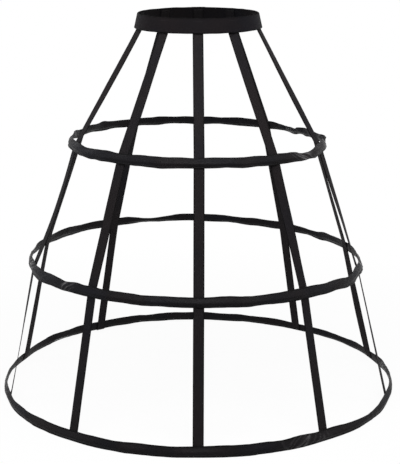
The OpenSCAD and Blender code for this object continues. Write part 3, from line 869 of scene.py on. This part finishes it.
class CRINOLINE_OT_waistband(bpy.types.Operator):
    """Makes the elastic waistband, with its ends lapped at the back"""

    bl_idname = "crinoline.waistband"
    bl_label = "Make the waistband"

    def execute(self, context):
        sizes = context.scene.crinoline_sizes
        width, thick = sizes.waistband_w, sizes.waistband_t
        section = band_section(width, thick)
        radius = sizes.waist_d / 2
        lap_arc = sizes.waistband_lap / radius
        bm = bmesh.new()
        spin_round(bm, section, radius, 0.0, FULL_TURN, BAND_STEPS)
        on_lap = len(bm.verts)
        lap = [(off + LAP_OFF * thick, down) for off, down in section]
        spin_section(bm, lap, radius, REAR - lap_arc / 2, lap_arc, LAP_STEPS)
        close_ends(bm)
        places = {}
        # Mask of the painted shade that darkens the elastic's inner face
        shade = bm.verts.layers.float.new("shade")
        girth = 2 * width
        for number, vert in enumerate(bm.verts):
            angle = turned_from_rear(vert.co)
            inward = radius - math.hypot(vert.co.x, vert.co.y)
            down = -vert.co.z
            middle = thick / 2 if number < on_lap else thick / 2 - LAP_OFF * thick
            places[vert] = (angle * radius, girth - down if inward > middle else down)
            vert[shade] = INNER_PAINTED_SHADE if inward > middle else 0.0
            vert.co = band_face(sizes, down, inward, angle)
        set_girth_uv(bm, places, girth)
        material = cloth_material(ELASTIC_CLOTH, context.scene.crinoline_colours.elastic, width, 0.0)
        piece = finish_piece(bm, "waistband_elastic", material)
        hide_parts("waistband")
        return {"FINISHED"}


# Tapes

Tape = namedtuple("Tape", "hem middle_low middle_top upper waist turns slack", defaults=(0.0,))

# Tapes: places in degrees from the hem up, turns out of flat from the waist down, and slack in mm
TAPES = {
    "front": Tape(270, 270.2, 270.2, 270.4, 269.8, (1, 1, -1, -3, -4, -2)),
    "front_left": Tape(234, 234.2, 233.9, 235.8, 237.9, (2, -20, -6, -6, 3, 3)),
    "left_front": Tape(197.1, 195.4, 196.0, 199.2, 200.6, (-18, -10, -2, -9, 2, 14), 4.6),
    "left_rear": Tape(162.5, 162, 162, 161.5, 162, (-4, 0, 8, 2, -1, 7)),
    "rear_left": Tape(125.4, 124.5, 124.5, 123, 124.8, (2, -6, -18, 4, -7, -3)),
    "rear": Tape(90, 90, 90, 90, 90, (0, 0, 0, 0, 0, 0)),
    "rear_right": Tape(54.8, 54.4, 54.4, 54.4, 57.0, (-10, -12, -7, -3, 2, 5)),
    "right_rear": Tape(19.1, 17, 17, 17.2, 18, (-8, -18, 4, 1, -12, -22)),
    "right_front": Tape(342.1, 348.8, 346.4, 343.6, 344.2, (5, 21, 11, -5, -5, -4)),
    "front_right": Tape(306.1, 306.9, 306.9, 304.6, 302.8, (15, 8, 24, -10, -6, -4)),
}

# Cells across and along a tape
TAPE_CELLS = (6, 200)
# Gap between the waistband's inner face and a tape's middle
BAND_GAP = 1.5 * MM
# Share of a turn at the end of a free run, and how far a turned tape draws in, as a share of its width
TURN_LEFT = 0.6
TURN_DRAW = 0.3
# Slow waver of a tape: depth, length, and waves across
TAPE_WAVER = 0.25 * MM
TAPE_WAVER_L = 40 * MM
TAPE_WAVER_ACROSS = 2.5
# Seed of a tape's waver: its start, its step with the length of the name, and the degrees in a step round
SEED_START = 7.0
SEED_BY_NAME = 3.1
SEED_BY_PLACE = 11
# Run of a tape that hangs slack, between the upper and the middle casing
SLACK_RUN = 3


def inside_hoop(sizes, hoop, degrees, down):
    """Returns a point of a tape's middle line behind a casing, down from the middle of the casing"""
    angle = math.radians(degrees)
    across = down - sizes.wire_drop
    out = -sizes.tape_inward
    radius = hoop.radius + across * math.sin(hoop.lean) + out * math.cos(hoop.lean)
    up = out * math.sin(hoop.lean) - across * math.cos(hoop.lean)
    about = math.atan2(math.sin(angle), math.cos(angle))
    off = hoop.sway * math.sin(angle) / radius
    return ring_point(hoop, radius, up, about + math.asin(off))


def tape_stations(sizes, hoops, tape):
    """Returns the points and angles of a tape where it meets the waistband and the edges of each casing"""
    half = sizes.casing_w / 2
    inward = sizes.waistband_t + BAND_GAP
    waist = math.radians(tape.waist)
    points = [band_point(sizes, down, inward, waist) for down in (sizes.tape_short, sizes.waistband_w)]
    angles = [tape.waist, tape.waist, tape.upper, tape.upper,
              tape.middle_top, tape.middle_low, tape.hem, tape.hem]
    for k, level in enumerate(LEVELS):
        last = half - (sizes.tape_short if level == "hem" else 0)
        points.append(inside_hoop(sizes, hoops[level], angles[2 + 2 * k], -half))
        points.append(inside_hoop(sizes, hoops[level], angles[3 + 2 * k], last))
    return points, [math.radians(a) for a in angles]


class TapeRun:
    """Middle line of one tape from the waistband down to the hem, with its turns and its slack"""

    def __init__(self, sizes, hoops, name, tape):
        self.sizes = sizes
        self.points, self.angles = tape_stations(sizes, hoops, tape)
        self.turns = [0.0] + [math.radians(t) for t in tape.turns] + [0.0]
        self.slack = tape.slack * MM
        self.lengths = [(b - a).length for a, b in zip(self.points, self.points[1:])]
        self.whole = sum(self.lengths)
        self.seed = SEED_START + SEED_BY_NAME * len(name) + math.degrees(self.angles[0]) / SEED_BY_PLACE

    def place(self, along, across):
        """Returns a point of the cloth, along from the waist and across as a share of the width"""
        k, part = 0, along
        while k < len(self.lengths) - 1 and part > self.lengths[k]:
            part -= self.lengths[k]
            k += 1
        share = min(1.0, part / self.lengths[k])
        ease = share * share * (3 - 2 * share)
        free = math.sin(math.pi * share) if k % 2 else 0.0
        angle = self.angles[k] + (self.angles[k + 1] - self.angles[k]) * share
        turn = (self.turns[k] + (self.turns[k + 1] - self.turns[k]) * ease) * at_least(TURN_LEFT, free)
        outward = Vector((math.cos(angle), math.sin(angle), 0))
        beside = Vector((-math.sin(angle), math.cos(angle), 0))
        slack = self.slack * free if k == SLACK_RUN else 0
        middle = self.points[k].lerp(self.points[k + 1], share)
        middle -= outward * (TURN_DRAW * self.sizes.tape_w * abs(math.sin(turn)) + slack)
        spot = Vector((along / TAPE_WAVER_L, TAPE_WAVER_ACROSS * across, self.seed))
        middle += outward * (TAPE_WAVER * noise.noise(spot))
        aside = across * self.sizes.tape_w
        return middle + beside * (aside * math.cos(turn)) + outward * (aside * math.sin(turn))


class CRINOLINE_OT_tapes(bpy.types.Operator):
    """Makes the ten ribbed tapes from the waistband down inside the hoops to the hem"""

    bl_idname = "crinoline.tapes"
    bl_label = "Make the tapes"

    def execute(self, context):
        sizes = context.scene.crinoline_sizes
        hoops = {level: hoop_ring(level, sizes) for level in LEVELS}
        colour = context.scene.crinoline_colours.tape
        material = cloth_material(TAPE_CLOTH, colour, sizes.tape_w, sizes.tape_w / 2)
        for name, tape in TAPES.items():
            run = TapeRun(sizes, hoops, name, tape)
            bm = bmesh.new()
            bmesh.ops.create_grid(bm, x_segments=TAPE_CELLS[0], y_segments=TAPE_CELLS[1], size=0.5)
            layer = bm.loops.layers.uv.new("cloth")
            # Mask of the painted shade that darkens each tape's end hidden behind the waistband
            shade = bm.verts.layers.float.new("shade")
            for face in bm.faces:
                for loop in face.loops:
                    loop[layer].uv = ((loop.vert.co.y + 0.5) * run.whole, loop.vert.co.x * sizes.tape_w)
            for vert in bm.verts:
                along = (0.5 - vert.co.y) * run.whole
                vert[shade] = HIDDEN_PAINTED_SHADE if along < run.lengths[0] else 0.0
                vert.co = run.place(along, vert.co.x)
            piece = finish_piece(bm, "tape_ribbon_" + name, material)
            wall = piece.modifiers.new("Thickness", "SOLIDIFY")
            wall.thickness = sizes.tape_t
            wall.offset = 0.0
            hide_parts("tape_" + name)
        return {"FINISHED"}


# Casings

# Shares of a casing's half width at which its faces have a vertex, from the upper edge down
CASING_SHARES = (-1.0, -0.965, -0.9, -0.82, -0.745, -0.66, -0.54, -0.4, -0.25, -0.1, 0.02, 0.12,
                 0.205, 0.29, 0.38, 0.48, 0.58, 0.66, 0.745, 0.82, 0.9, 0.965, 1.0)
# How narrow the ridge tops in a crumple are, which carry a painted sheen and a glossier coat
RIDGE_FALL = 6


def casing_section(sizes):
    """Returns the closed section of a casing as (off, down)"""
    downs = [share * (sizes.casing_w / 2) - sizes.wire_drop for share in CASING_SHARES]
    section = [(casing_half(sizes, down), down) for down in downs]
    return section + [(-casing_half(sizes, down), down) for down in reversed(downs)]


class CRINOLINE_OT_casings(bpy.types.Operator):
    """Makes the three ribbon casings, gathered between the tapes and open at the rear tape"""

    bl_idname = "crinoline.casings"
    bl_label = "Make the casings"

    def execute(self, context):
        sizes = context.scene.crinoline_sizes
        steps = sizes.casing_steps
        girth = 2 * sizes.casing_w
        material = cloth_material(CASING_CLOTH, context.scene.crinoline_colours.ribbon, sizes.casing_w, 0.0)
        for level in LEVELS:
            hoop = hoop_ring(level, sizes)
            gap = sizes.casing_gap / hoop.radius
            start, arc = REAR + gap / 2, FULL_TURN - gap
            bm = bmesh.new()
            spin_round(bm, casing_section(sizes), hoop.radius, start, arc, steps)
            places, rings = {}, {}
            crumpled = bm.verts.layers.float.new("crumple")
            for vert in bm.verts:
                angle = turned_from_rear(vert.co)
                key = round((angle - REAR - gap / 2) / arc * steps)
                if key not in rings:
                    rings[key] = Gathers(sizes, hoop, angle)
                ring = rings[key]
                across, out = -vert.co.z, math.hypot(vert.co.x, vert.co.y) - hoop.radius
                flat = across + sizes.wire_drop + sizes.casing_w / 2
                places[vert] = (angle * hoop.radius, flat if out > 0 else girth - flat)
                # Ridge tops of the crumples, kept as the mask for a painted sheen and a glossier coat
                vert[crumpled] = min(1.0, ring.crumple) * max(0.0, ring.ridge(across)) ** RIDGE_FALL
                vert.co = ring.place(across, out, angle)
            set_girth_uv(bm, places, girth)
            piece = finish_piece(bm, "casing_ribbon_" + level, material)
            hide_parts("casing_" + level)
        return {"FINISHED"}


# Stitches

# Half sizes of a stitch: off the cloth and down it as shares of the thread, along as a share of its length
STITCH_OFF = 0.42
STITCH_ALONG = 0.34
STITCH_DOWN = 0.5
# How far the middle of a stitch stands off the cloth, and off the elastic where it is lapped as a share of it
STITCH_PROUD = 0.02 * MM
LAP_PROUD = 0.9
# Rows of stitches at a tape's end: from the upper and lower edges of the waistband, and the stitches in a row
UPPER_ROW = 6 * MM
LOWER_ROW = 5 * MM
ROW_STITCHES = (-2, -1, 0, 1, 2)
# Sections of a casing that are worked out for each stitch
STITCH_RINGS = 4


def add_stitch(bm, sizes, angle, radius, down):
    """Adds one stitch that lies along a ring about the axis"""
    halves = (STITCH_OFF * sizes.thread_d, STITCH_ALONG * sizes.stitch_l, STITCH_DOWN * sizes.thread_d, 1)
    spot = Matrix.Rotation(angle, 4, "Z") @ Matrix.Translation((radius, 0, -down)) @ Matrix.Diagonal(halves)
    bmesh.ops.create_icosphere(bm, subdivisions=1, radius=1.0, matrix=spot)


def sew_casing(sizes, level, material):
    """Sews the two seams of one casing on both faces"""
    hoop = hoop_ring(level, sizes)
    seam = sizes.casing_w / 2 - sizes.casing_seam
    count = round(FULL_TURN * hoop.radius / sizes.stitch_l / PARTS)
    step = FULL_TURN / PARTS / count
    part = bmesh.new()
    for down in (-seam - sizes.wire_drop, seam - sizes.wire_drop):
        for side in (1, -1):
            off = side * (casing_half(sizes, down) + STITCH_PROUD)
            add_stitch(part, sizes, REAR + step / 2, hoop.radius + off, down)
    bmesh.ops.spin(part, geom=part.verts[:] + part.edges[:] + part.faces[:], cent=(0, 0, 0), axis=(0, 0, 1),
                   dvec=(0, 0, 0), angle=step * (count - 1), steps=count - 1, use_duplicate=True)
    bm = bmesh.new()
    repeat_round(bm, part, FULL_TURN / PARTS)
    rings = {}
    for vert in bm.verts:
        angle = turned_from_rear(vert.co)
        key = round(STITCH_RINGS * angle / step)
        if key not in rings:
            rings[key] = Gathers(sizes, hoop, angle)
        vert.co = rings[key].place(-vert.co.z, math.hypot(vert.co.x, vert.co.y) - hoop.radius, angle)
    piece = finish_piece(bm, "seam_stitches_" + level, material)


def sew_waist(sizes, material):
    """Sews each tape to the waistband with two rows"""
    bm = bmesh.new()
    radius = sizes.waist_d / 2
    for name, tape in TAPES.items():
        off = LAP_PROUD * sizes.waistband_t if name == "rear" else STITCH_PROUD
        for down in (UPPER_ROW, sizes.waistband_w - LOWER_ROW):
            for k in ROW_STITCHES:
                angle = math.radians(tape.waist) + k * sizes.stitch_l / radius
                add_stitch(bm, sizes, angle, radius + off, down)
    for vert in bm.verts:
        inward = radius - math.hypot(vert.co.x, vert.co.y)
        vert.co = band_face(sizes, -vert.co.z, inward, turned_from_rear(vert.co))
    piece = finish_piece(bm, "seam_stitches_waist", material)


class CRINOLINE_OT_stitches(bpy.types.Operator):
    """Sews the two seams of each casing on both faces, and the tapes to the waistband with two rows each"""

    bl_idname = "crinoline.stitches"
    bl_label = "Sew the seams"

    def execute(self, context):
        sizes = context.scene.crinoline_sizes
        material = thread_material(context.scene.crinoline_colours.thread)
        for level in LEVELS:
            sew_casing(sizes, level, material)
        sew_waist(sizes, material)
        return {"FINISHED"}


# Steel

class CRINOLINE_OT_steel(bpy.types.Operator):
    """Gives the hoop wires and their crimped sleeves their steel"""

    bl_idname = "crinoline.steel"
    bl_label = "Finish the steel"

    def execute(self, context):
        colours = context.scene.crinoline_colours
        spring = steel_material(SPRING_STEEL, colours.spring)
        crimped = steel_material(CRIMPED_STEEL, colours.crimped)
        for level in LEVELS:
            for node, material in (("hoop_" + level, spring), ("sleeve_" + level, crimped)):
                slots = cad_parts[node].data.materials
                slots.clear()
                slots.append(material)
        return {"FINISHED"}


# Stage

FLOOR_HALF = 40.0
# Share of white that the floor shows at the middle, and how much it gains with each metre outwards
FLOOR_WHITE = 0.9
FLOOR_FADE = 0.09
DIM_WORLD = (0.16, 0.16, 0.165, 1)
LIGHTS_AIM = Vector((0, 0, 0.35))
SENSOR_W = 36


def seen_white(tree):
    """Returns a mask of the camera, glossy and transmitted rays, which meet plain white"""
    path = tree.nodes.new("ShaderNodeLightPath")
    seen = math_node(tree, "MAXIMUM", path.outputs["Is Camera Ray"], path.outputs["Is Glossy Ray"])
    return math_node(tree, "MAXIMUM", seen, path.outputs["Is Transmission Ray"])


def set_floor(scene):
    """Lays the pale floor, which fades to white away from the middle"""
    bm = bmesh.new()
    bmesh.ops.create_grid(bm, x_segments=2, y_segments=2, size=FLOOR_HALF)
    mesh = bpy.data.meshes.new("floor")
    bm.to_mesh(mesh)
    bm.free()
    floor = bpy.data.objects.new("floor", mesh)
    scene.collection.objects.link(floor)
    paper = bpy.data.materials.new("Floor paper")
    paper.use_nodes = True
    tree = paper.node_tree
    tree.nodes.clear()
    matt = add_node(tree, "BsdfDiffuse", {"Color": scene.crinoline_colours.floor}).outputs[0]
    white = add_node(tree, "Emission").outputs[0]
    spot = add_node(tree, "TexCoord").outputs["Object"]
    away = add_node(tree, "VectorMath", {0: spot}, operation="LENGTH").outputs["Value"]
    share = math_node(tree, "MULTIPLY_ADD", away, FLOOR_FADE, FLOOR_WHITE)
    seen = math_node(tree, "MULTIPLY", seen_white(tree), math_node(tree, "MINIMUM", share, 1.0))
    mix = add_node(tree, "MixShader", {0: seen, 1: matt, 2: white}).outputs[0]
    add_node(tree, "OutputMaterial", {"Surface": mix})
    mesh.materials.append(paper)


def set_world(scene):
    """Fills the world with dim light, seen as white"""
    world = bpy.data.worlds.new("Studio")
    scene.world = world
    world.use_nodes = True
    tree = world.node_tree
    tree.nodes.clear()
    dim = add_node(tree, "Background", {"Color": DIM_WORLD}).outputs[0]
    white = add_node(tree, "Background", {"Color": (1, 1, 1, 1)}).outputs[0]
    mix = add_node(tree, "MixShader", {0: seen_white(tree), 1: dim, 2: white}).outputs[0]
    add_node(tree, "OutputWorld", {"Surface": mix})


def set_lights(scene, stage):
    """Hangs the softboxes"""
    for name, at, power, size in (
        ("Left softbox", (-2.3, -0.5, 1.3), stage.side_power, 1.0),
        ("Right softbox", (2.3, -0.5, 1.3), stage.side_power, 1.0),
        ("Top softbox", (0.0, -0.3, 3.0), stage.top_power, 2.2),
        ("Front softbox", (0.0, -0.9, 1.65), stage.front_power, 1.1),
    ):
        light = bpy.data.lights.new(name, "AREA")
        light.energy = power
        light.shape = "SQUARE"
        light.size = size
        lamp = bpy.data.objects.new(name, light)
        lamp.location = at
        lamp.rotation_euler = (LIGHTS_AIM - Vector(at)).to_track_quat("-Z", "Y").to_euler()
        lamp.visible_camera = False
        scene.collection.objects.link(lamp)


def set_camera(scene, stage):
    """Sets the camera before the cage, looking down on it"""
    lens = bpy.data.cameras.new("Camera")
    lens.lens = stage.camera_lens
    lens.sensor_width = SENSOR_W
    camera = bpy.data.objects.new("Camera", lens)
    camera.location = stage.camera_at
    camera.rotation_euler = (math.radians(90) - stage.camera_down, 0, 0)
    scene.collection.objects.link(camera)
    scene.camera = camera


class CRINOLINE_OT_stage(bpy.types.Operator):
    """Sets the floor, the soft light and the camera"""

    bl_idname = "crinoline.stage"
    bl_label = "Set the stage"

    def execute(self, context):
        scene = context.scene
        scene.view_settings.view_transform = "Standard"
        set_floor(scene)
        set_world(scene)
        set_lights(scene, scene.crinoline_stage)
        set_camera(scene, scene.crinoline_stage)
        return {"FINISHED"}


class CRINOLINE_PT_sidebar(bpy.types.Panel):
    """Lists the steps of the crinoline, with its sizes, colours and stage"""

    bl_label = "Cage crinoline"
    bl_idname = "CRINOLINE_PT_sidebar"
    bl_space_type = "VIEW_3D"
    bl_region_type = "UI"
    bl_category = "Crinoline"

    def draw(self, context):
        for operator in OPERATORS:
            self.layout.operator(operator.bl_idname)
        scene = context.scene
        for group in (scene.crinoline_sizes, scene.crinoline_colours, scene.crinoline_stage):
            box = self.layout.box()
            for key in group.__annotations__:
                box.prop(group, key)


OPERATORS = (CRINOLINE_OT_waistband, CRINOLINE_OT_tapes, CRINOLINE_OT_casings, CRINOLINE_OT_stitches,
             CRINOLINE_OT_steel, CRINOLINE_OT_stage)
CLASSES = (CrinolineSizes, CrinolineColours, CrinolineStage) + OPERATORS + (CRINOLINE_PT_sidebar,)


def register():
    for cls in CLASSES:
        bpy.utils.register_class(cls)
    bpy.types.Scene.crinoline_sizes = PointerProperty(type=CrinolineSizes)
    bpy.types.Scene.crinoline_colours = PointerProperty(type=CrinolineColours)
    bpy.types.Scene.crinoline_stage = PointerProperty(type=CrinolineStage)


def unregister():
    del bpy.types.Scene.crinoline_stage
    del bpy.types.Scene.crinoline_colours
    del bpy.types.Scene.crinoline_sizes
    for cls in reversed(CLASSES):
        bpy.utils.unregister_class(cls)


def main():
    register()
    bpy.ops.crinoline.waistband()
    bpy.ops.crinoline.tapes()
    bpy.ops.crinoline.casings()
    bpy.ops.crinoline.stitches()
    bpy.ops.crinoline.steel()
    bpy.ops.crinoline.stage()


if __name__ == "__main__":
    main()
